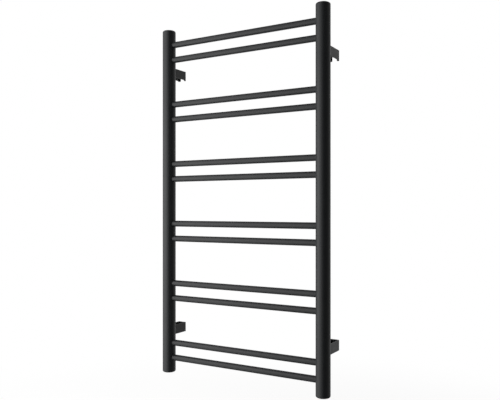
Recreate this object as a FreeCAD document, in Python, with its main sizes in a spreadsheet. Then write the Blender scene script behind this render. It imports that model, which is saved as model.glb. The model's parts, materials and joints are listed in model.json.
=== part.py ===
import FreeCAD, Part
import math
import os
import Sketcher

# Wall-hung ladder towel warmer: two uprights, six pairs of crossbars, four wall brackets,
# two pipe ports and an air vent. X runs along the wall, Y points into it and Z is up.
# The wall face is Y = 0, and X = 0 is midway between the uprights.
# Z = 0 is the roof of the two hook slots, where the rail hangs on its wall screws.

# Driving dimensions, in millimetres unless the note says otherwise.
DIMENSIONS = (
    ("upright_spacing", 452, "between the axes of the uprights"),
    ("upright_diameter", 35, "outside"),
    ("upright_wall", 1.5, "tube wall"),
    ("crossbar_diameter", 16, "outside"),
    ("crossbar_wall", 1.2, "tube wall"),
    ("crossbar_seat", 13, "from an upright's axis to a crossbar's end"),
    ("pair_count", 6, "pairs of crossbars, a number"),
    ("pair_pitch", 160, "from one pair to the next"),
    ("pair_spacing", 40, "between the two crossbars of a pair"),
    ("end_margin", 39.5, "from the end of the rail to the nearest crossbar's axis"),
    ("wall_distance", 63.5, "from the wall to the uprights' axes"),
    ("cap_thickness", 6, "end cap's disc"),
    ("cap_edge_radius", 4.2, "rounding of an end cap's outer edge"),
    ("spigot_clearance", 0.1, "between an end cap's spigot and the tube"),
    ("spigot_wall", 2.5, "spigot ring of the plain cap"),
    ("spigot_depth", 8, "spigot of the plain and ported caps"),
    ("bracket_width", 25, "outside, along the wall"),
    ("bracket_height", 25, "strap width, along the upright"),
    ("bracket_steel", 2.5, "strap thickness"),
    ("bracket_bend", 3.5, "outer radius of the strap's two bends"),
    ("bracket_edge", 0.4, "rounding of the strap's edges"),
    ("bracket_inset", 111.5, "from the end of the rail to a bracket's middle"),
    ("bracket_offset", 2.5, "from an upright's axis outward to its brackets' middle"),
    ("cheek_rise", 1.5, "lower edge of a hooked bracket's cheeks above its web's"),
    ("slot_width", 12, "hook slot"),
    ("slot_height", 15, "hook slot, from the strap's lower edge to the roof"),
    ("slot_mouth", 2.5, "rounding of the slot's two lower corners"),
    ("bush_diameter", 26, "port bush, outside"),
    ("bush_length", 18, "port bush"),
    ("port_diameter", 18.6, "bore at the crests of the G 1/2 thread"),
    ("port_mouth", 21.2, "chamfered mouth of the port"),
    ("vent_bore", 21, "bore for the vent plug's thread"),
    ("vent_bore_depth", 12, "below the end of the upright"),
    ("vent_recess", 25.2, "recess for the vent plug's flange"),
    ("vent_recess_depth", 5.8, "recess, seal and flange together"),
    ("vent_flange", 24.4, "vent plug's flange"),
    ("vent_flange_sink", 0.6, "flange below the cap's face"),
    ("vent_shank", 20.8, "vent plug's threaded part"),
    ("vent_shank_depth", 9, "below the end of the upright"),
    ("vent_passage", 4, "water passage under the valve seat"),
    ("vent_seat_depth", 3, "lower edge of the conical seat below the end of the upright"),
    ("vent_screw_bore", 7, "guides the bleed screw"),
    ("vent_screw_clearance", 0.05, "radial"),
    ("vent_seat_clearance", 0.1, "between the closed screw and its seat, along Z"),
    ("vent_socket", 10, "hexagon socket across flats"),
    ("vent_socket_floor", 1, "above the end of the upright"),
    ("seal_section", 1.8, "rubber ring's section"),
    ("key_square", 5, "square head of the bleed screw"),
    ("key_height", 4, "square head of the bleed screw"),
    ("key_slot", 1, "screwdriver slot across the head"),
    ("key_slot_depth", 1.3, "screwdriver slot"),
)

HEIGHT = "((Size.pair_count - 1) * Size.pair_pitch + Size.pair_spacing + 2 * Size.end_margin)"
UPPER_BRACKET = "(-Size.slot_height)"
RAIL_TOP = f"({UPPER_BRACKET} + Size.bracket_height / 2 + Size.bracket_inset)"
RAIL_BOTTOM = f"({RAIL_TOP} - {HEIGHT})"
LOWER_BRACKET = f"({RAIL_BOTTOM} + Size.bracket_inset - Size.bracket_height / 2)"
UPRIGHT_X = "(Size.upright_spacing / 2)"
UPRIGHT_Y = "(-Size.wall_distance)"
SPIGOT_RADIUS = "(Size.upright_diameter / 2 - Size.upright_wall - Size.spigot_clearance)"
LEFT, RIGHT = -1, 1

doc = FreeCAD.newDocument("TowelWarmerRack")
sheet = doc.addObject("Spreadsheet::Sheet", "Size")
for row, (alias, number, note) in enumerate(DIMENSIONS, start=1):
    sheet.set(f"A{row}", alias)
    sheet.set(f"B{row}", str(number))
    sheet.setAlias(f"B{row}", alias)
    sheet.set(f"C{row}", note)
doc.recompute()

parts = []


def value(expression):
    """The number that an expression over the sheet gives now."""
    return float(sheet.evalExpression(expression))


def new_body(name, x="0", y="0", z="0", turn=0):
    """An empty body at a place given by expressions, turned about X by some degrees."""
    body = doc.addObject("PartDesign::Body", name)
    body.Label = name
    body.Placement = FreeCAD.Placement(FreeCAD.Vector(), FreeCAD.Rotation(FreeCAD.Vector(1, 0, 0), turn))
    for axis, expression in (("x", x), ("y", y), ("z", z)):
        body.setExpression(f"Placement.Base.{axis}", expression)
    parts.append(body)
    return body


def new_sketch(body, plane):
    """A sketch on one of the body's own origin planes."""
    sketch = body.newObject("Sketcher::SketchObject", f"{body.Name}_sketch")
    support = next(feature for feature in body.Origin.OriginFeatures if feature.Role == plane)
    sketch.AttachmentSupport = [(support, "")]
    sketch.MapMode = "FlatFace"
    return sketch


def pin(sketch, constraint, expression):
    """Adds a dimension to a sketch and ties it to the sheet."""
    index = sketch.addConstraint(constraint)
    sketch.setExpression(f"Constraints[{index}]", expression)


def pin_point(sketch, edge, end, across, up):
    """Holds one end of an edge at a place given by two expressions; "0" puts it on the sketch's axis."""
    for kind, expression, axis in (("DistanceX", across, -2), ("DistanceY", up, -1)):
        if expression == "0":
            sketch.addConstraint(Sketcher.Constraint("PointOnObject", edge, end, axis))
        else:
            pin(sketch, Sketcher.Constraint(kind, -1, 1, edge, end, value(expression)), expression)


def circle(sketch, radius, across="0", up="0"):
    """A circle whose radius and centre are expressions."""
    centre = FreeCAD.Vector(value(across), value(up), 0)
    edge = sketch.addGeometry(Part.Circle(centre, FreeCAD.Vector(0, 0, 1), value(radius)), False)
    pin(sketch, Sketcher.Constraint("Radius", edge, value(radius)), radius)
    pin_point(sketch, edge, 3, across, up)


def outline(sketch, corners):
    """A closed outline of straight sides through corners given as pairs of expressions."""
    places = [FreeCAD.Vector(value(across), value(up), 0) for across, up in corners]
    for start, end in zip(places, places[1:] + places[:1]):
        sketch.addGeometry(Part.LineSegment(start, end), False)
    for edge, (across, up) in enumerate(corners):
        following = (edge + 1) % len(corners)
        sketch.addConstraint(Sketcher.Constraint("Coincident", edge, 2, following, 1))
        pin_point(sketch, edge, 1, across, up)


def rectangle(sketch, left, right, low, high):
    """A rectangle between four places given as expressions."""
    outline(sketch, [(left, low), (right, low), (right, high), (left, high)])


def arch(sketch, width, height):
    """A slot outline standing on the horizontal axis, with straight sides and a half-round roof."""
    half, rise = value(f"{width} / 2"), value(f"{height} - {width} / 2")
    foot_left, foot_right = FreeCAD.Vector(-half, 0, 0), FreeCAD.Vector(half, 0, 0)
    spring_left, spring_right = FreeCAD.Vector(-half, rise, 0), FreeCAD.Vector(half, rise, 0)
    sketch.addGeometry(Part.LineSegment(spring_left, foot_left), False)
    sketch.addGeometry(Part.LineSegment(foot_left, foot_right), False)
    sketch.addGeometry(Part.LineSegment(foot_right, spring_right), False)
    roof = Part.Circle(FreeCAD.Vector(0, rise, 0), FreeCAD.Vector(0, 0, 1), half)
    sketch.addGeometry(Part.ArcOfCircle(roof, 0, math.pi), False)
    sketch.addConstraint(Sketcher.Constraint("Coincident", 0, 2, 1, 1))
    sketch.addConstraint(Sketcher.Constraint("Coincident", 1, 2, 2, 1))
    sketch.addConstraint(Sketcher.Constraint("Tangent", 2, 2, 3, 1))
    sketch.addConstraint(Sketcher.Constraint("Tangent", 3, 2, 0, 1))
    pin_point(sketch, 1, 1, f"-{width} / 2", "0")
    pin_point(sketch, 1, 2, f"{width} / 2", "0")
    pin_point(sketch, 3, 3, "0", f"{height} - {width} / 2")


def pad(body, sketch, length, side="One side"):
    """Extrudes a sketch by a length given as an expression."""
    feature = body.newObject("PartDesign::Pad", f"{body.Name}_pad")
    feature.Profile = sketch
    feature.SideType = side
    feature.setExpression("Length", length)
    doc.recompute()
    return feature


def revolve(body, corners):
    """Turns an outline of (radius, height) corners once round the body's Z axis."""
    sketch = new_sketch(body, "XZ_Plane")
    outline(sketch, corners)
    feature = body.newObject("PartDesign::Revolution", f"{body.Name}_turning")
    feature.Profile = sketch
    feature.ReferenceAxis = (sketch, ["V_Axis"])
    feature.Angle = 360
    doc.recompute()
    return feature


def pocket(body, sketch, length=None, backward=False):
    """Cuts a sketch out of the body, by a length or right through both ways, and checks that it did."""
    before = body.Shape.Volume
    feature = body.newObject("PartDesign::Pocket", f"{body.Name}_cut")
    feature.Profile = sketch
    feature.Reversed = backward
    if length is None:
        feature.Type = "ThroughAll"
        feature.SideType = "Symmetric"
    else:
        feature.setExpression("Length", length)
    doc.recompute()
    if not feature.Shape.Volume < before:
        raise RuntimeError(f"{feature.Name} cuts nothing")
    return feature


def edges_where(feature, test):
    """Names of the feature's edges that pass a test."""
    names = [f"Edge{index}" for index, edge in enumerate(feature.Shape.Edges, start=1) if test(edge)]
    if not names:
        raise RuntimeError(f"no edge of {feature.Name} passes the test")
    return names


def round_edges(body, feature, names, radius):
    """Rounds named edges of a feature by a radius given as an expression."""
    fillet = body.newObject("PartDesign::Fillet", f"{body.Name}_round")
    fillet.Base = (feature, names)
    fillet.setExpression("Radius", radius)
    doc.recompute()
    return fillet


def near(first, second):
    """Whether two numbers agree to a thousandth of a millimetre."""
    return abs(first - second) < 0.001


def is_line_at(edge, along, **places):
    """Whether a straight edge runs along one axis, at given distances from the other two's planes."""
    ends = [vertex.Point for vertex in edge.Vertexes]
    if len(ends) != 2 or near(getattr(ends[0], along), getattr(ends[1], along)):
        return False
    return all(
        near(abs(getattr(end, axis)), abs(place)) for end in ends for axis, place in places.items()
    )


def side_x(side, expression=UPRIGHT_X):
    """An expression moved to the left or the right of the middle."""
    return f"({side}) * {expression}"


def make_upright(name, side):
    """Tube between its two end caps, drilled on its inner side for every crossbar."""
    body = new_body(name, side_x(side), UPRIGHT_Y, f"{RAIL_BOTTOM} + Size.cap_thickness")
    section = new_sketch(body, "XY_Plane")
    circle(section, "Size.upright_diameter / 2")
    circle(section, "Size.upright_diameter / 2 - Size.upright_wall")
    pad(body, section, f"{HEIGHT} - 2 * Size.cap_thickness")

    seats = new_sketch(body, "YZ_Plane")
    lowest = "Size.end_margin - Size.cap_thickness"
    circle(seats, "Size.crossbar_diameter / 2", up=lowest)
    circle(seats, "Size.crossbar_diameter / 2", up=f"{lowest} + Size.pair_spacing")
    drilled = pocket(body, seats, "Size.upright_diameter", backward=side == LEFT)
    pairs = body.newObject("PartDesign::LinearPattern", f"{name}_pairs")
    pairs.Originals = [drilled]
    pairs.Direction = (seats, ["V_Axis"])
    pairs.setExpression("Length", "(Size.pair_count - 1) * Size.pair_pitch")
    pairs.setExpression("Occurrences", "Size.pair_count")
    body.Tip = pairs


def make_crossbar(number):
    """One horizontal tube, numbered from the bottom, with both ends inside the uprights."""
    pair, upper = divmod(number - 1, 2)
    height = f"{RAIL_BOTTOM} + Size.end_margin + {pair} * Size.pair_pitch"
    height += f" + {upper} * Size.pair_spacing"
    body = new_body(f"crossbar_{number:02d}", "0", UPRIGHT_Y, height)
    section = new_sketch(body, "YZ_Plane")
    circle(section, "Size.crossbar_diameter / 2")
    circle(section, "Size.crossbar_diameter / 2 - Size.crossbar_wall")
    pad(body, section, "Size.upright_spacing - 2 * Size.crossbar_seat", side="Symmetric")


def round_cap_edge(body, turned):
    """Rounds the outer edge of an end cap's face."""
    radius, thickness = value("Size.upright_diameter / 2"), value("Size.cap_thickness")

    def is_rim(edge):
        box = edge.BoundBox
        return near(box.XMax, radius) and near(box.ZMin, thickness) and near(box.ZMax, thickness)

    round_edges(body, turned, edges_where(turned, is_rim), "Size.cap_edge_radius")


def make_plain_cap(name, side):
    """Top cap: a disc on the tube's end, which is its Z = 0, with a spigot ring inside the tube."""
    body = new_body(name, side_x(side), UPRIGHT_Y, f"{RAIL_TOP} - Size.cap_thickness")
    turned = revolve(
        body,
        [
            ("0", "0"),
            (f"{SPIGOT_RADIUS} - Size.spigot_wall", "0"),
            (f"{SPIGOT_RADIUS} - Size.spigot_wall", "-Size.spigot_depth"),
            (SPIGOT_RADIUS, "-Size.spigot_depth"),
            (SPIGOT_RADIUS, "0"),
            ("Size.upright_diameter / 2", "0"),
            ("Size.upright_diameter / 2", "Size.cap_thickness"),
            ("0", "Size.cap_thickness"),
        ],
    )
    round_cap_edge(body, turned)


def make_ported_cap(name, side):
    """Bottom cap: a top cap with a hole for the port bush, turned over so that its own +Z points down."""
    body = new_body(name, side_x(side), UPRIGHT_Y, f"{RAIL_BOTTOM} + Size.cap_thickness", turn=180)
    turned = revolve(
        body,
        [
            ("Size.bush_diameter / 2", "-Size.spigot_depth"),
            (SPIGOT_RADIUS, "-Size.spigot_depth"),
            (SPIGOT_RADIUS, "0"),
            ("Size.upright_diameter / 2", "0"),
            ("Size.upright_diameter / 2", "Size.cap_thickness"),
            ("Size.bush_diameter / 2", "Size.cap_thickness"),
        ],
    )
    round_cap_edge(body, turned)


def make_port_bush(name, side):
    """Threaded bush welded flush in a bottom cap, bored to its thread's crests, with a chamfered mouth."""
    body = new_body(name, side_x(side), UPRIGHT_Y, f"{RAIL_BOTTOM} + Size.cap_thickness", turn=180)
    inner_end = "Size.cap_thickness - Size.bush_length"
    chamfer = "(Size.port_mouth - Size.port_diameter) / 2"
    revolve(
        body,
        [
            ("Size.port_diameter / 2", inner_end),
            ("Size.bush_diameter / 2", inner_end),
            ("Size.bush_diameter / 2", "Size.cap_thickness"),
            ("Size.port_mouth / 2", "Size.cap_thickness"),
            ("Size.port_diameter / 2", f"Size.cap_thickness - {chamfer}"),
        ],
    )


def make_vent_cap(name, side):
    """Top cap with a threaded bore for the air vent and a recess that keeps its flange below the face."""
    body = new_body(name, side_x(side), UPRIGHT_Y, f"{RAIL_TOP} - Size.cap_thickness")
    recess_floor = "Size.cap_thickness - Size.vent_recess_depth"
    turned = revolve(
        body,
        [
            ("Size.vent_bore / 2", "-Size.vent_bore_depth"),
            (SPIGOT_RADIUS, "-Size.vent_bore_depth"),
            (SPIGOT_RADIUS, "0"),
            ("Size.upright_diameter / 2", "0"),
            ("Size.upright_diameter / 2", "Size.cap_thickness"),
            ("Size.vent_recess / 2", "Size.cap_thickness"),
            ("Size.vent_recess / 2", recess_floor),
            ("Size.vent_bore / 2", recess_floor),
        ],
    )
    round_cap_edge(body, turned)


def make_vent_body(name, side):
    """Brass plug: flange, shank, hexagon socket, bleed screw's bore, conical seat and water passage."""
    body = new_body(name, side_x(side), UPRIGHT_Y, f"{RAIL_TOP} - Size.cap_thickness")
    flange_low = "Size.cap_thickness - Size.vent_recess_depth + Size.seal_section"
    flange_top = "Size.cap_thickness - Size.vent_flange_sink"
    seat_rise = "(Size.vent_screw_bore - Size.vent_passage) / 2"
    revolve(
        body,
        [
            ("Size.vent_passage / 2", "-Size.vent_shank_depth"),
            ("Size.vent_shank / 2", "-Size.vent_shank_depth"),
            ("Size.vent_shank / 2", flange_low),
            ("Size.vent_flange / 2", flange_low),
            ("Size.vent_flange / 2", flange_top),
            ("Size.vent_screw_bore / 2", flange_top),
            ("Size.vent_screw_bore / 2", f"-Size.vent_seat_depth + {seat_rise}"),
            ("Size.vent_passage / 2", "-Size.vent_seat_depth"),
        ],
    )
    socket = new_sketch(body, "XY_Plane")
    socket.setExpression("AttachmentOffset.Base.z", flange_top)
    corner = "Size.vent_socket / sqrt(3)"
    outline(
        socket,
        [
            (corner, "0"),
            (f"{corner} / 2", "Size.vent_socket / 2"),
            (f"-{corner} / 2", "Size.vent_socket / 2"),
            (f"-{corner}", "0"),
            (f"-{corner} / 2", "-Size.vent_socket / 2"),
            (f"{corner} / 2", "-Size.vent_socket / 2"),
        ],
    )
    pocket(body, socket, f"{flange_top} - Size.vent_socket_floor")


def make_vent_seal(name, side):
    """Rubber ring round the plug's shank, between its flange and the recess's floor."""
    body = new_body(name, side_x(side), UPRIGHT_Y, f"{RAIL_TOP} - Size.cap_thickness")
    sketch = new_sketch(body, "XZ_Plane")
    half = "Size.seal_section / 2"
    middle = f"Size.cap_thickness - Size.vent_recess_depth + {half}"
    circle(sketch, half, across=f"Size.vent_shank / 2 + {half}", up=middle)
    ring = body.newObject("PartDesign::Revolution", f"{name}_turning")
    ring.Profile = sketch
    ring.ReferenceAxis = (sketch, ["V_Axis"])
    ring.Angle = 360


def make_vent_screw(name, side):
    """Bleed screw: a cone that closes the seat, a guided cylinder and a slotted square head."""
    head_base = f"{RAIL_TOP} - Size.cap_thickness + Size.vent_socket_floor"
    body = new_body(name, side_x(side), UPRIGHT_Y, head_base)
    radius = "(Size.vent_screw_bore / 2 - Size.vent_screw_clearance)"
    tip = "(-Size.vent_seat_depth - Size.vent_socket_floor + Size.vent_seat_clearance)"
    revolve(
        body,
        [
            ("0", tip),
            ("Size.vent_passage / 2", tip),
            (radius, f"{tip} + {radius} - Size.vent_passage / 2"),
            (radius, "0"),
            ("0", "0"),
        ],
    )
    head = new_sketch(body, "XY_Plane")
    half = "Size.key_square / 2"
    rectangle(head, f"-{half}", half, f"-{half}", half)
    pad(body, head, "Size.key_height")
    slot = new_sketch(body, "XY_Plane")
    slot.setExpression("AttachmentOffset.Base.z", "Size.key_height")
    rectangle(slot, "-Size.key_square", "Size.key_square", "-Size.key_slot / 2", "Size.key_slot / 2")
    pocket(body, slot, "Size.key_slot_depth")


def make_bracket(name, side, height, hooked):
    """U-shaped strap, open at top and bottom, from its web on the wall to the back of the tube.

    A hooked one has a slot in its web, whose two legs reach a little below the cheeks.
    """
    body = new_body(name, side_x(side, f"({UPRIGHT_X} + Size.bracket_offset)"), "0", height)
    out, inside = "Size.bracket_width / 2", "Size.bracket_width / 2 - Size.bracket_steel"
    front = "-(Size.wall_distance - Size.upright_diameter / 4)"
    strap = new_sketch(body, "XY_Plane")
    outline(
        strap,
        [
            (f"-{out}", front),
            (f"-{out}", "0"),
            (out, "0"),
            (out, front),
            (inside, front),
            (inside, "-Size.bracket_steel"),
            (f"-({inside})", "-Size.bracket_steel"),
            (f"-({inside})", front),
        ],
    )
    shape = pad(body, strap, "Size.bracket_height")
    inner_bend = "Size.bracket_bend - Size.bracket_steel"
    bends_at = (("0", out, "Size.bracket_bend"), ("Size.bracket_steel", inside, inner_bend))
    for depth, reach, radius in bends_at:
        corner = {"x": value(reach), "y": value(depth)}
        bends = edges_where(shape, lambda edge: is_line_at(edge, "z", **corner))
        shape = round_edges(body, shape, bends, radius)

    if hooked:
        slot = new_sketch(body, "XZ_Plane")
        arch(slot, "Size.slot_width", "Size.slot_height")
        shape = pocket(body, slot, "2 * Size.bracket_steel", backward=True)
        foot = {"x": value("Size.slot_width / 2"), "z": 0}
        feet = edges_where(shape, lambda edge: is_line_at(edge, "y", **foot))
        shape = round_edges(body, shape, feet, "Size.slot_mouth")
        trim = new_sketch(body, "YZ_Plane")
        rectangle(trim, front, "-2 * Size.bracket_steel", f"-{out}", "Size.cheek_rise")
        shape = pocket(body, trim)

    round_edges(body, shape, edges_where(shape, lambda edge: True), "Size.bracket_edge")

    tube = new_sketch(body, "XY_Plane")
    circle(tube, "Size.upright_diameter / 2", across=side_x(-side, "Size.bracket_offset"), up=UPRIGHT_Y)
    pocket(body, tube)


make_upright("left_upright", LEFT)
make_upright("right_upright", RIGHT)
for number in range(1, 2 * int(value("Size.pair_count")) + 1):
    make_crossbar(number)
make_plain_cap("top_cap_left", LEFT)
make_vent_cap("top_cap_right", RIGHT)
make_vent_body("air_vent_body", RIGHT)
make_vent_seal("air_vent_seal", RIGHT)
make_vent_screw("air_vent_screw", RIGHT)
for side, word in ((LEFT, "left"), (RIGHT, "right")):
    make_ported_cap(f"bottom_cap_{word}", side)
    make_port_bush(f"port_bush_{word}", side)
    make_bracket(f"upper_bracket_{word}", side, UPPER_BRACKET, hooked=True)
    make_bracket(f"lower_bracket_{word}", side, LOWER_BRACKET, hooked=False)

doc.recompute()
for item in doc.Objects:
    if "Invalid" in item.State or "Error" in item.State:
        raise RuntimeError(f"{item.Label} failed: {item.State}")
for body in parts:
    if body.Shape.isNull() or not body.Shape.isValid() or len(body.Shape.Solids) != 1:
        raise RuntimeError(f"{body.Label} isn't one valid solid")

os.makedirs("parts", exist_ok=True)
for body in parts:
    body.Shape.exportStep(f"parts/{body.Label}.step")
    box = body.Shape.BoundBox
    print(f"{body.Label}: {body.Shape.Volume:.0f} mm3, Z {box.ZMin:.1f} to {box.ZMax:.1f}")
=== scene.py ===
import json
import math

import bmesh
import bpy
import numpy as np
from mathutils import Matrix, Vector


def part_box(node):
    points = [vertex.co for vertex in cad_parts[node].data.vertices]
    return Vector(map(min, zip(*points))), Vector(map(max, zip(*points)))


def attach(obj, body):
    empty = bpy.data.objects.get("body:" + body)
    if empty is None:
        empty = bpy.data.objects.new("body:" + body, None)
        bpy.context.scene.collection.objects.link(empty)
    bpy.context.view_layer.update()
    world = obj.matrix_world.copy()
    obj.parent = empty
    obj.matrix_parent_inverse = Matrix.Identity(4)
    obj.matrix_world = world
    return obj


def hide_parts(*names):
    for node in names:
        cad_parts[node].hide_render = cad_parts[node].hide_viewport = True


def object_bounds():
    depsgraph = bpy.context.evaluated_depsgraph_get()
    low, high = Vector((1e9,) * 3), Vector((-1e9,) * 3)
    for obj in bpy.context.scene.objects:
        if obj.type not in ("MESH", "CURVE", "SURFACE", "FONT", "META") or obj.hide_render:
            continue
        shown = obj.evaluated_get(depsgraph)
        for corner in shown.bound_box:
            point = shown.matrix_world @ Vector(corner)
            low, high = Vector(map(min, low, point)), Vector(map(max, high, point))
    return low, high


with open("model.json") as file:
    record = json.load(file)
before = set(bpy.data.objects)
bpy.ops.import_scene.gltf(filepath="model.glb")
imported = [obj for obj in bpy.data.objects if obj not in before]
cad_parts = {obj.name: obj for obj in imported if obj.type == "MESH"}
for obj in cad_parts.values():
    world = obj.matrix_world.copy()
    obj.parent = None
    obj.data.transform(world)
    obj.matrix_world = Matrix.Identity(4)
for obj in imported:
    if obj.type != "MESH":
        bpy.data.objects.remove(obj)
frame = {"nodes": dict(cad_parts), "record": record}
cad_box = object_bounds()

# Wall-hung ladder towel warmer in satin black powder coat, seen from its right and just below its middle.
# X runs along the wall, Y points into it and Z is up, in metres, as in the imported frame.

MM = 0.001
SHARP = math.radians(35)  # edges that turn by more than this aren't smoothed over

# Weld beads, under the coat
CROSSBAR_LEG = 1.2 * MM  # fillet where a crossbar enters an upright
STRAP_LEG = 1.5 * MM  # fillet where a bracket's cheek meets an upright
STRAP_BEAD_INSET = 2.5 * MM  # from the strap's edge to the end of the bead
BEAD_ROOT = 0.4 * MM  # how deep a bead's root lies in the steel
BEAD_TOE = 0.02 * MM  # how deep its two edges lie
RIPPLE_LENGTH = 2.2 * MM  # from one ripple of a bead to the next
RIPPLE_SWELL = 0.07  # how much a ripple widens the bead, as a share of its leg
RIPPLE_POINTS = 6  # points to each ripple of a crossbar's bead
STRAP_BEAD_POINTS = 80  # points along a bracket's bead
STRAP_BEAD_TIP = 0.02  # square of the share of the leg that is left at the ends of a bracket's bead
BEAD_STEPS = 7  # points across a bead

# G 1/2 pipe thread: 14 turns to the inch and 0.64 of its pitch deep
THREAD_PITCH = 25.4 / 14 * MM
THREAD_DEPTH = 0.64 * THREAD_PITCH
PORT_CREST = 9.3 * MM  # radius of the bore at the thread's crests
PORT_MOUTH = 10.6 * MM  # radius of the chamfered mouth
PORT_POINTS = 120  # points round the bore
THREAD_POINTS = 12  # points to each pitch of the thread

# Patterns
NOISE_LOW = 0.3  # nearly all of a noise pattern lies between these two values
NOISE_HIGH = 0.7
RING_SPACING = 0.314  # 2 pi / 20: how far apart the rings of a wave pattern are at a scale of 1

# Studio, in metres and degrees. Azimuth 0 is straight out from the wall, and 90 is +X.
CAMERA_PLACE = (0.8093, -1.3826, -0.3707)
CAMERA_TURN = 30.64  # to the left of facing the wall
CAMERA_LENS = 44.25  # mm, on a sensor 36 mm wide
CAMERA_SHIFT = 0.0176  # lifts the view a little without tilting the camera
FLOOR_DROP = 0.3  # from the rail's lower end to the floor
FLOOR_REACH = 6.0  # from the floor's middle to its edges
FLOOR_GLOW = 0.55  # the floor's own light, which keeps it pale
# The floor turns into the background between these distances from the frame's origin, 1.1 m above it.
FADE_START = 0.5
FADE_END = 2.0
BOX_DISTANCE = 0.92  # from the rail's middle to the softbox
BOX_HALF_WIDTH = 2.0
BOX_AZIMUTH = -43.5
BOX_STRENGTH = 2.3  # radiance at its centre
BOX_TIGHTNESS = 3.57  # how fast it fades with the angle from its centre
BOX_SQUASH = 0.7  # heights count for this much, so it fades more slowly up and down than sideways
GLOW_AZIMUTH = 185
GLOW_STRENGTH = 0.7
GLOW_TIGHTNESS = 1.44


def linear(colour):
    """An sRGB colour in hex, such as "1b1c1e", as linear red, green, blue and an alpha of 1."""
    channels = np.array([int(colour[place : place + 2], 16) for place in (0, 2, 4)]) / 255
    channels = np.where(channels <= 0.04045, channels / 12.92, ((channels + 0.055) / 1.055) ** 2.4)
    return (*channels.tolist(), 1.0)


def add(tree, kind, inputs=(), **settings):
    """Adds a node, sets its attributes, and gives each named or numbered input a value or a link."""
    made = tree.nodes.new(kind)
    for name, setting in settings.items():
        setattr(made, name, setting)
    for socket, source in dict(inputs).items():
        if isinstance(source, bpy.types.NodeSocket):
            tree.links.new(source, made.inputs[socket])
        else:
            made.inputs[socket].default_value = source
    return made


def middle_and_size(node):
    """The middle of a CAD node's box, and its size along X, Y and Z."""
    low, high = (np.array(corner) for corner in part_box(node))
    return (low + high) / 2, high - low


def new_material(name):
    """An empty material and its node tree."""
    material = bpy.data.materials.new(name)
    material.use_nodes = True
    material.node_tree.nodes.clear()
    return material, material.node_tree


def finish_material(tree, **inputs):
    """Ends a tree with a Principled shader. Underscores in the names of the inputs stand for spaces."""
    named = {name.replace("_", " "): source for name, source in inputs.items()}
    shader = add(tree, "ShaderNodeBsdfPrincipled", named)
    add(tree, "ShaderNodeOutputMaterial", {"Surface": shader.outputs[0]})


def powder_coat():
    """Polyester powder coat, sprayed on dry and baked: satin black, with a low orange peel."""
    material, tree = new_material("satin_black_powder_coat")
    place = add(tree, "ShaderNodeTexCoord").outputs["Object"]

    # Orange peel is 1 to 2 mm from hill to hill.
    peel = add(tree, "ShaderNodeTexNoise", {"Vector": place, "Scale": 1 / (1.6 * MM), "Detail": 1.0})
    grit = add(tree, "ShaderNodeTexNoise", {"Vector": place, "Scale": 1 / (0.35 * MM), "Detail": 2.0})
    hills = add(
        tree, "ShaderNodeBump", {"Height": peel.outputs["Fac"], "Distance": 0.05 * MM, "Strength": 0.5}
    )
    bump = add(
        tree,
        "ShaderNodeBump",
        {
            "Height": grit.outputs["Fac"],
            "Distance": 0.012 * MM,
            "Strength": 0.5,
            "Normal": hills.outputs[0],
        },
    )

    # The coat's thickness wanders over 30 mm or so, and its gloss with it.
    drift = add(tree, "ShaderNodeTexNoise", {"Vector": place, "Scale": 1 / (30 * MM), "Detail": 3.0})
    gloss = add(
        tree,
        "ShaderNodeMapRange",
        {
            "Value": drift.outputs["Fac"],
            "From Min": NOISE_LOW,
            "From Max": NOISE_HIGH,
            "To Min": 0.38,
            "To Max": 0.45,
        },
    )
    tint = add(
        tree,
        "ShaderNodeMix",
        {"Factor": drift.outputs["Fac"], "A": linear("1f2123"), "B": linear("232527")},
        data_type="RGBA",
    )
    finish_material(
        tree,
        Base_Color=tint.outputs["Result"],
        Roughness=gloss.outputs[0],
        Normal=bump.outputs[0],
    )
    return material


def nickel_plate():
    """Nickel-plated brass, turned on a lathe: a warm grey metal with fine rings round the screw."""
    material, tree = new_material("nickel_plated_brass")
    place = add(tree, "ShaderNodeTexCoord").outputs["Object"]
    centre, _ = middle_and_size("air_vent_body")
    about = add(tree, "ShaderNodeMapping", {"Vector": place, "Location": (-centre).tolist()})

    # The feed was 0.1 mm a turn, and the rings are drawn 0.4 mm apart so that they show.
    rings = add(
        tree,
        "ShaderNodeTexWave",
        {
            "Vector": about.outputs[0],
            "Scale": RING_SPACING / (0.4 * MM),
            "Distortion": 0.6,
            "Detail": 1.0,
        },
        wave_type="RINGS",
        rings_direction="Z",
    )
    bump = add(
        tree, "ShaderNodeBump", {"Height": rings.outputs["Fac"], "Distance": 0.01 * MM, "Strength": 0.6}
    )
    stain = add(tree, "ShaderNodeTexNoise", {"Vector": place, "Scale": 1 / (4 * MM), "Detail": 4.0})
    gloss = add(
        tree,
        "ShaderNodeMapRange",
        {
            "Value": stain.outputs["Fac"],
            "From Min": NOISE_LOW,
            "From Max": NOISE_HIGH,
            "To Min": 0.2,
            "To Max": 0.36,
        },
    )
    tint = add(
        tree,
        "ShaderNodeMix",
        {"Factor": stain.outputs["Fac"], "A": linear("c8c2b2"), "B": linear("b3aa96")},
        data_type="RGBA",
    )
    finish_material(
        tree,
        Base_Color=tint.outputs["Result"],
        Metallic=1.0,
        Roughness=gloss.outputs[0],
        Normal=bump.outputs[0],
    )
    return material


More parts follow.
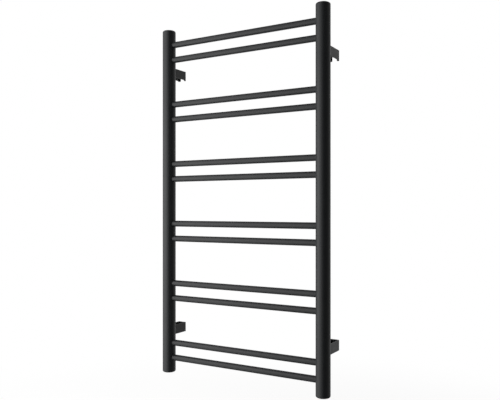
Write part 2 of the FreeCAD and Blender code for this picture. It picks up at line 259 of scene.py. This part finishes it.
def machined_thread():
    """Bare steel, cut with a tap: mid grey, with duller and darker streaks along the cut."""
    material, tree = new_material("tapped_bare_steel")
    place = add(tree, "ShaderNodeTexCoord").outputs["Object"]

    # A streak is about 3 mm long and runs round the bore, so the pattern is squeezed along Z.
    along = add(tree, "ShaderNodeMapping", {"Vector": place, "Scale": (1.0, 1.0, 8.0)})
    streaks = add(
        tree, "ShaderNodeTexNoise", {"Vector": along.outputs[0], "Scale": 1 / (3 * MM), "Detail": 5.0}
    )
    gloss = add(
        tree,
        "ShaderNodeMapRange",
        {
            "Value": streaks.outputs["Fac"],
            "From Min": NOISE_LOW,
            "From Max": NOISE_HIGH,
            "To Min": 0.3,
            "To Max": 0.55,
        },
    )
    tint = add(
        tree,
        "ShaderNodeMix",
        {"Factor": streaks.outputs["Fac"], "A": linear("8f8f8d"), "B": linear("6c6a66")},
        data_type="RGBA",
    )
    bump = add(
        tree,
        "ShaderNodeBump",
        {"Height": streaks.outputs["Fac"], "Distance": 0.02 * MM, "Strength": 0.4},
    )
    finish_material(
        tree,
        Base_Color=tint.outputs["Result"],
        Metallic=1.0,
        Roughness=gloss.outputs[0],
        Normal=bump.outputs[0],
    )
    return material


def seal_rubber():
    """Moulded nitrile rubber: near black and matt, with a faint grey bloom."""
    material, tree = new_material("nitrile_rubber")
    place = add(tree, "ShaderNodeTexCoord").outputs["Object"]
    bloom = add(tree, "ShaderNodeTexNoise", {"Vector": place, "Scale": 1 / (2 * MM), "Detail": 4.0})
    tint = add(
        tree,
        "ShaderNodeMix",
        {"Factor": bloom.outputs["Fac"], "A": linear("161616"), "B": linear("242423")},
        data_type="RGBA",
    )
    bump = add(
        tree, "ShaderNodeBump", {"Height": bloom.outputs["Fac"], "Distance": 0.02 * MM, "Strength": 0.5}
    )
    finish_material(tree, Base_Color=tint.outputs["Result"], Roughness=0.75, Normal=bump.outputs[0])
    return material


def place_camera():
    """The camera stands out from the wall and to the right, level, and turned left to face the rail."""
    data = bpy.data.cameras.new("camera")
    data.sensor_width = 36.0
    data.lens = CAMERA_LENS
    data.shift_y = CAMERA_SHIFT
    camera = bpy.data.objects.new("camera", data)
    camera.location = CAMERA_PLACE
    camera.rotation_euler = (math.radians(90), 0, math.radians(CAMERA_TURN))
    bpy.context.scene.collection.objects.link(camera)
    bpy.context.scene.camera = camera


def lobe(tree, direction, azimuth, strength, tightness):
    """Brightness by direction: strength * exp(tightness * (cosine of the angle to the azimuth - 1))."""
    turn = math.radians(azimuth)
    middle = (math.sin(turn), -math.cos(turn), 0.0)
    cosine = add(tree, "ShaderNodeVectorMath", {0: direction, 1: middle}, operation="DOT_PRODUCT")
    spread = add(
        tree,
        "ShaderNodeMath",
        {0: cosine.outputs["Value"], 1: tightness, 2: math.log(strength) - tightness},
        operation="MULTIPLY_ADD",
    )
    return add(tree, "ShaderNodeMath", {0: spread.outputs[0]}, operation="EXPONENT").outputs[0]


def hang_softbox():
    """A square softbox at the rail's front left, level with its middle, that fades towards its edges."""
    middle = (cad_box[0][2] + cad_box[1][2]) / 2
    material, tree = new_material("softbox_cloth")
    place = add(tree, "ShaderNodeTexCoord").outputs["Object"]
    level = add(
        tree,
        "ShaderNodeVectorMath",
        {0: place, 1: (1.0, 1.0, BOX_SQUASH), 2: (0.0, 0.0, -BOX_SQUASH * middle)},
        operation="MULTIPLY_ADD",
    )
    direction = add(tree, "ShaderNodeVectorMath", {0: level.outputs[0]}, operation="NORMALIZE")
    glow = lobe(tree, direction.outputs[0], BOX_AZIMUTH, BOX_STRENGTH, BOX_TIGHTNESS)
    shader = add(tree, "ShaderNodeEmission", {"Color": linear("ffffff"), "Strength": glow})
    add(tree, "ShaderNodeOutputMaterial", {"Surface": shader.outputs[0]})

    turn = math.radians(BOX_AZIMUTH)
    out = np.array([math.sin(turn), -math.cos(turn), 0])
    across = np.array([math.cos(turn), math.sin(turn), 0]) * BOX_HALF_WIDTH
    up = np.array([0, 0, BOX_HALF_WIDTH])
    centre = out * BOX_DISTANCE + (0, 0, middle)
    corners = [centre - across - up, centre - across + up, centre + across + up, centre + across - up]
    softbox = flat_piece("softbox", corners, material)
    softbox.visible_camera = False


def light_studio():
    """A broad glow behind the rail, and a white background that is seen but lights nothing."""
    world = bpy.data.worlds.new("studio")
    world.use_nodes = True
    tree = world.node_tree
    tree.nodes.clear()
    direction = add(tree, "ShaderNodeTexCoord").outputs["Generated"]
    glow = lobe(tree, direction, GLOW_AZIMUTH, GLOW_STRENGTH, GLOW_TIGHTNESS)
    dome = add(tree, "ShaderNodeBackground", {"Color": linear("ffffff"), "Strength": glow})
    white = add(tree, "ShaderNodeBackground", {"Color": linear("ffffff"), "Strength": 1.0})
    seen = add(tree, "ShaderNodeLightPath").outputs["Is Camera Ray"]
    mixed = add(tree, "ShaderNodeMixShader", {0: seen, 1: dome.outputs[0], 2: white.outputs[0]})
    add(tree, "ShaderNodeOutputWorld", {"Surface": mixed.outputs[0]})
    bpy.context.scene.world = world
    bpy.context.scene.view_settings.view_transform = "Standard"


def flat_piece(name, corners, material):
    """A flat four-sided piece of the studio."""
    mesh = bpy.data.meshes.new(name)
    mesh.from_pydata(corners, [], [(0, 1, 2, 3)])
    mesh.materials.append(material)
    piece = bpy.data.objects.new(name, mesh)
    bpy.context.scene.collection.objects.link(piece)
    return piece


def skin(name, patches, materials, material_of=None, round_trip=True):
    """A closed mesh from grids of points of shape (rows, columns, 3), whose columns run round a loop.

    With round_trip the last row joins the first, and without it each end is closed by one face.
    material_of takes the faces' middles and says which of the materials each face has.
    """
    points, faces, first = [], [], 0
    for patch in patches:
        rows, columns, _ = patch.shape
        index = first + np.arange(rows * columns).reshape(rows, columns)
        loops = np.hstack([index, index[:, :1]])
        if round_trip:
            loops = np.vstack([loops, loops[:1]])
        corners = [loops[:-1, :-1], loops[1:, :-1], loops[1:, 1:], loops[:-1, 1:]]
        faces += np.stack(corners, axis=-1).reshape(-1, 4).tolist()
        if not round_trip:
            faces += [index[0].tolist(), index[-1].tolist()]
        points.append(patch.reshape(-1, 3))
        first += rows * columns
    mesh = bpy.data.meshes.new(name)
    mesh.from_pydata(np.concatenate(points).tolist(), [], faces)

    shell = bmesh.new()
    shell.from_mesh(mesh)
    bmesh.ops.recalc_face_normals(shell, faces=shell.faces[:])
    shell.to_mesh(mesh)
    shell.free()
    for material in materials:
        mesh.materials.append(material)
    if material_of:
        middles = np.empty((len(mesh.polygons), 3), dtype=np.float32)
        mesh.polygons.foreach_get("center", middles.ravel())
        mesh.polygons.foreach_set("material_index", material_of(middles).astype(np.int32))
    mesh.shade_smooth()
    mesh.set_sharp_from_angle(angle=SHARP)
    piece = bpy.data.objects.new(name, mesh)
    bpy.context.scene.collection.objects.link(piece)
    return piece


def concave(start, corner, end):
    """Points across a fillet, for t from 0 to 1: (1 - t)^2 start + 2 t (1 - t) corner + t^2 end.

    The curve leaves both legs in line with them.
    """
    t = np.linspace(0, 1, BEAD_STEPS)[:, None]
    start, corner, end = (points[..., None, :] for points in (start, corner, end))
    return (1 - t) ** 2 * start + 2 * t * (1 - t) * corner + t**2 * end


def crossbar_bead(upright, crossbar, side, shift):
    """Fillet round a crossbar where it enters an upright.

    At angle a round the crossbar, of radius r, the seam lies sqrt(R^2 - (r cos a)^2) from the axis of
    the upright, of radius R. One leg runs from there along the crossbar, and the other out over the
    upright. Their length goes up and down with the sine of a and with the sine of the ripples' angle.
    """
    axis, upright_size = middle_and_size(upright)
    centre, crossbar_size = middle_and_size(crossbar)
    outer, inner = upright_size[0] / 2, crossbar_size[2] / 2
    ripples = round(2 * math.pi * inner / RIPPLE_LENGTH)
    angle = np.linspace(0, 2 * math.pi, RIPPLE_POINTS * ripples, endpoint=False)
    swell = np.sin(ripples * angle + shift) + np.sin(angle + shift)
    leg = CROSSBAR_LEG * (1 + RIPPLE_SWELL * swell)

    def around(radius, along):
        """Points at a radius from the crossbar's axis and a distance from the upright's."""
        return np.stack([along, radius * np.cos(angle), radius * np.sin(angle)], axis=-1)

    def surface(radius, depth):
        """How far from the upright's axis its surface is, at a radius from the crossbar's."""
        return np.sqrt((outer - depth) ** 2 - (radius * np.cos(angle)) ** 2)

    seam = surface(inner, 0)
    start = around(inner - BEAD_TOE, seam + leg)
    corner = around(inner, seam)
    end = around(inner + leg, surface(inner + leg, BEAD_TOE))
    root = around(inner - BEAD_ROOT, seam - BEAD_ROOT)
    bead = np.concatenate([concave(start, corner, end), root[:, None, :]], axis=1)
    return bead * (-side, 1, 1) + (axis[0], centre[1], centre[2])


def strap_bead(upright, bracket, outward, shift):
    """Fillet down the outside of a bracket's cheek where it meets the upright.

    The seam is a straight line at sqrt(R^2 - c^2) behind the upright's axis, for a cheek c to one side
    of it. One leg runs along the cheek towards the wall, and the other round the upright. The bead
    narrows at its ends as the square root of 1 + STRAP_BEAD_TIP - u^8, for u from -1 to 1 along it.
    """
    axis, upright_size = middle_and_size(upright)
    centre, size = middle_and_size(bracket)
    radius = upright_size[0] / 2
    cheek = centre[0] + outward * size[0] / 2 - axis[0]
    back = math.sqrt(radius**2 - cheek**2)
    u = np.linspace(-1, 1, STRAP_BEAD_POINTS)
    rise = u * (size[2] / 2 - STRAP_BEAD_INSET)
    swell = 1 + RIPPLE_SWELL * np.sin(2 * math.pi * rise / RIPPLE_LENGTH + shift)
    leg = STRAP_LEG * swell * np.sqrt(1 + STRAP_BEAD_TIP - u**8)
    turn = math.atan2(cheek, back) + outward * leg / radius

    def line(across, behind):
        """Points up the bead, at a distance to one side of the upright's axis and another behind it."""
        return np.stack(np.broadcast_arrays(across, behind, rise), axis=-1)

    start = line(cheek - outward * BEAD_TOE, back + leg)
    corner = line(cheek, back)
    end = line((radius - BEAD_TOE) * np.sin(turn), (radius - BEAD_TOE) * np.cos(turn))
    root = line(cheek - outward * BEAD_ROOT, back - BEAD_ROOT)
    bead = np.concatenate([concave(start, corner, end), root[:, None, :]], axis=1)
    return bead + (axis[0], axis[1], centre[2])


def finish_piece(piece):
    """Fixes a piece to the rail, as every piece made here is."""
    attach(piece, "rail")


def weld_upright(word, side, coat):
    """The beads on one upright: one round each crossbar, and one beside each cheek of its brackets."""
    upright = f"{word}_upright"
    crossbars = [name for name in sorted(frame["nodes"]) if name.startswith("crossbar_")]
    rings = [crossbar_bead(upright, name, side, shift) for shift, name in enumerate(crossbars)]
    finish_piece(skin(f"crossbar_welds_{word}", rings, [coat]))
    runs = [
        strap_bead(upright, f"{level}_bracket_{word}", outward, shift)
        for level, shift in (("upper", 1), ("lower", 0))
        for outward in (-1, 1)
    ]
    finish_piece(skin(f"bracket_welds_{word}", runs, [coat], round_trip=False))


def tap_port(word, coat, thread):
    """Port bush with its real thread, in place of the plain one.

    The bore's radius at height z and angle a is the crest plus half the depth times
    1 - cos(2 pi z / pitch - a), which is close to the rounded form of a pipe thread. Where the mouth's
    45 degree chamfer is wider than that, the radius is the mouth's less z.
    """
    node = f"port_bush_{word}"
    centre, size = middle_and_size(node)
    outer, length = size[0] / 2, size[2]
    angle = np.linspace(0, 2 * math.pi, PORT_POINTS, endpoint=False)[:, None]
    height = np.linspace(length, 0, THREAD_POINTS * round(length / THREAD_PITCH))[None, :]
    wave = 1 - np.cos(2 * math.pi * height / THREAD_PITCH - angle)
    bore = np.maximum(PORT_CREST + THREAD_DEPTH / 2 * wave, PORT_MOUTH - height)
    radius = np.hstack([np.full((len(angle), 2), outer), bore])
    height = np.broadcast_to(np.hstack([[[0, length]], height]), radius.shape)
    bush = np.stack([radius * np.cos(angle), radius * np.sin(angle), height], axis=-1)
    foot = centre - (0, 0, length / 2)

    def is_bore(middles):
        """The faces inside the mouth's radius, which are bare."""
        away = np.hypot(*(middles - foot)[:, :2].T)
        return away < PORT_MOUTH

    piece = skin(f"threaded_bush_{word}", [bush + foot], [coat, thread], material_of=is_bore)
    finish_piece(piece)
    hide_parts(node)


def lay_floor():
    """A pale floor under the rail that fades into the white background. It is clear from below."""
    material, tree = new_material("pale_floor")
    place = add(tree, "ShaderNodeTexCoord").outputs["Object"]
    away = add(tree, "ShaderNodeVectorMath", {0: place}, operation="LENGTH").outputs["Value"]
    fade = add(
        tree,
        "ShaderNodeMapRange",
        {"Value": away, "From Min": FADE_START, "From Max": FADE_END},
        interpolation_type="SMOOTHSTEP",
    )
    near = add(
        tree,
        "ShaderNodeBsdfPrincipled",
        {
            "Base Color": linear("efefee"),
            "Roughness": 0.8,
            "Emission Color": linear("ffffff"),
            "Emission Strength": FLOOR_GLOW,
        },
    )
    far = add(tree, "ShaderNodeEmission", {"Color": linear("ffffff"), "Strength": 1.0})
    top = add(tree, "ShaderNodeMixShader", {0: fade.outputs[0], 1: near.outputs[0], 2: far.outputs[0]})
    clear = add(tree, "ShaderNodeBsdfTransparent")
    below = add(tree, "ShaderNodeNewGeometry").outputs["Backfacing"]
    seen = add(tree, "ShaderNodeMixShader", {0: below, 1: top.outputs[0], 2: clear.outputs[0]})
    add(tree, "ShaderNodeOutputMaterial", {"Surface": seen.outputs[0]})

    level = cad_box[0][2] - FLOOR_DROP
    directions = ((-1, -1), (1, -1), (1, 1), (-1, 1))
    corners = [(FLOOR_REACH * x, FLOOR_REACH * y, level) for x, y in directions]
    floor = flat_piece("floor", corners, material)

    # The rail neither mirrors it nor is lit by it, so that the coat stays as dark below as above.
    floor.visible_glossy = False
    floor.visible_diffuse = False


coat = powder_coat()
nickel = nickel_plate()
thread = machined_thread()
rubber = seal_rubber()
finishes = {
    "black_powder_coat": coat,
    "vent_brass": nickel,
    "threaded_steel": thread,
    "seal_rubber": rubber,
}
for part in frame["record"]["subparts"]:
    node = frame["nodes"][part["node"]]
    node.data.materials.clear()
    node.data.materials.append(finishes[part["material_slot"]])

for word, side in (("left", -1), ("right", 1)):
    weld_upright(word, side, coat)
    tap_port(word, coat, thread)

lay_floor()
place_camera()
hang_softbox()
light_studio()
